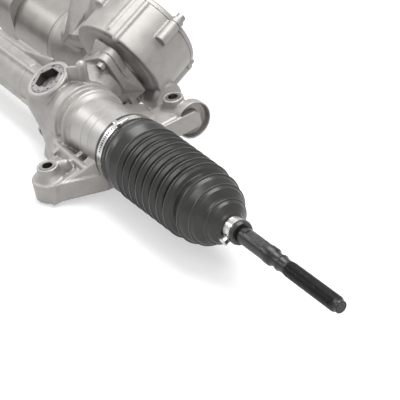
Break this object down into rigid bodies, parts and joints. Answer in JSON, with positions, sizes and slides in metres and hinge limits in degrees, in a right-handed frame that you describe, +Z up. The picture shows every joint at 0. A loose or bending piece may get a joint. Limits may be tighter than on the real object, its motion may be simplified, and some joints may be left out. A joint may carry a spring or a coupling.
{
  "type": "steering rack",
  "caption": "Electric power steering rack with cast housing, assist motor and worm gearbox, bellows, tie rods and mounting lugs.",
  "frame": {"origin": "seat of the front mounting lug, on its bolt's axis, in the attitude in which the rack lies on a floor", "axes": "+X along the rack towards the gearbox end's tie rod, +Z up from the floor, +Y towards the motor"},
  "size_m": [1.3, 0.2478, 0.1816],
  "materials": {
    "cast_aluminium": "cast, satin",
    "turned_steel": "machined",
    "hard_steel": "ground",
    "black_steel": "phosphated, satin black",
    "band_steel": "bright strip",
    "boot_rubber": "matte moulded",
    "nylon_natural": "moulded",
    "motor_can": "drawn, satin",
    "lamination_steel": "stacked sheet"
  },
  "bodies": {
    "housing": {"boot_clamp_large_left": "band_steel", "boot_clamp_large_right": "band_steel", "boot_left": "boot_rubber", "boot_right": "boot_rubber", "cover_bolts": "turned_steel", "drive_bearing_end": "hard_steel", "drive_bearing_lower": "hard_steel", "drive_bearing_nut": "turned_steel", "drive_bearing_upper": "hard_steel", "drive_end_cap": "turned_steel", "drive_yoke": "cast_aluminium", "drive_yoke_pad": "nylon_natural", "drive_yoke_plug": "cast_aluminium", "drive_yoke_spring": "hard_steel", "ecu_cover": "cast_aluminium", "ecu_housing": "cast_aluminium", "gearbox_bolts": "turned_steel", "gearbox_cover": "cast_aluminium", "gearbox_housing": "cast_aluminium", "input_bearing_lower": "hard_steel", "input_bearing_nut": "turned_steel", "input_bearing_upper": "hard_steel", "input_end_cap": "turned_steel", "input_seal": "boot_rubber", "input_shaft_bearing": "hard_steel", "input_yoke": "cast_aluminium", "input_yoke_pad": "nylon_natural", "input_yoke_plug": "cast_aluminium", "input_yoke_spring": "hard_steel", "lug_sleeves": "turned_steel", "motor_housing": "motor_can", "motor_stator": "lamination_steel", "rack_bush_left": "nylon_natural", "rack_bush_right": "nylon_natural", "rack_housing": "cast_aluminium", "sensor_housing": "cast_aluminium", "worm_bearing_inner": "hard_steel", "worm_bearing_outer": "hard_steel"},
    "rack": {"rack_bar": "hard_steel", "ball_socket_right": "turned_steel", "ball_socket_left": "turned_steel"},
    "swivel_right": {"ball_seat_right": "nylon_natural"},
    "swivel_left": {"ball_seat_left": "nylon_natural"},
    "rod_right": {"tie_rod_right": "black_steel", "boot_clamp_small_right": "band_steel"},
    "rod_left": {"tie_rod_left": "black_steel", "boot_clamp_small_left": "band_steel"},
    "assist_pinion": {"drive_pinion": "hard_steel", "worm_wheel": "nylon_natural"},
    "worm": {"worm_shaft": "hard_steel", "worm_coupling": "turned_steel", "motor_rotor": "lamination_steel"},
    "column_pinion": {"input_pinion": "hard_steel", "torsion_bar": "hard_steel"},
    "column_shaft": {"input_shaft": "turned_steel"}
  },
  "joints": [
    {"name": "rack_slide", "type": "slide", "parent": "housing", "child": "rack", "axis": [1, 0, 0], "range_m": [-0.075, 0.075], "deforming": ["boot_right", "boot_left"]},
    {"name": "assist_pinion_spin", "type": "hinge", "parent": "housing", "child": "assist_pinion", "pos_m": [-0.088, 0.07726, 0.0009], "axis": [-0.1736, 0.8441, 0.5072], "range_deg": [-530, 530]},
    {"name": "worm_spin", "type": "hinge", "parent": "housing", "child": "worm", "pos_m": [-0.10311, 0.17391, 0.00639], "axis": [1, 0, 0], "range_deg": [-10580.7, 10580.7]},
    {"name": "column_pinion_spin", "type": "hinge", "parent": "housing", "child": "column_pinion", "pos_m": [-0.488, 0.08545, 0.01909], "axis": [-0.2079, -0.1783, 0.9618], "range_deg": [-526.4, 526.4]},
    {"name": "torsion_twist", "type": "hinge", "parent": "column_pinion", "child": "column_shaft", "pos_m": [-0.488, 0.08545, 0.01909], "axis": [-0.2079, -0.1783, 0.9618], "range_deg": [-4.5, 4.5], "stiffness_Nm_per_rad": 120},
    {"name": "tilt_right", "type": "hinge", "parent": "rack", "child": "swivel_right", "pos_m": [0.062, 0.06825, 0.0159], "axis": [0, 1, 0], "range_deg": [-12, 12]},
    {"name": "swing_right", "type": "hinge", "parent": "swivel_right", "child": "rod_right", "pos_m": [0.062, 0.06825, 0.0159], "axis": [0, 0, 1], "range_deg": [-6, 6]},
    {"name": "tilt_left", "type": "hinge", "parent": "rack", "child": "swivel_left", "pos_m": [-0.638, 0.06825, 0.0159], "axis": [0, 1, 0], "range_deg": [-12, 12]},
    {"name": "swing_left", "type": "hinge", "parent": "swivel_left", "child": "rod_left", "pos_m": [-0.638, 0.06825, 0.0159], "axis": [0, 0, 1], "range_deg": [-6, 6]}
  ],
  "couplings": [
    {"joint": "assist_pinion_spin", "follows": "rack_slide", "rad_per_m": 123.1},
    {"joint": "worm_spin", "follows": "rack_slide", "rad_per_m": 2462},
    {"joint": "column_pinion_spin", "follows": "rack_slide", "rad_per_m": 122.27}
  ]
}
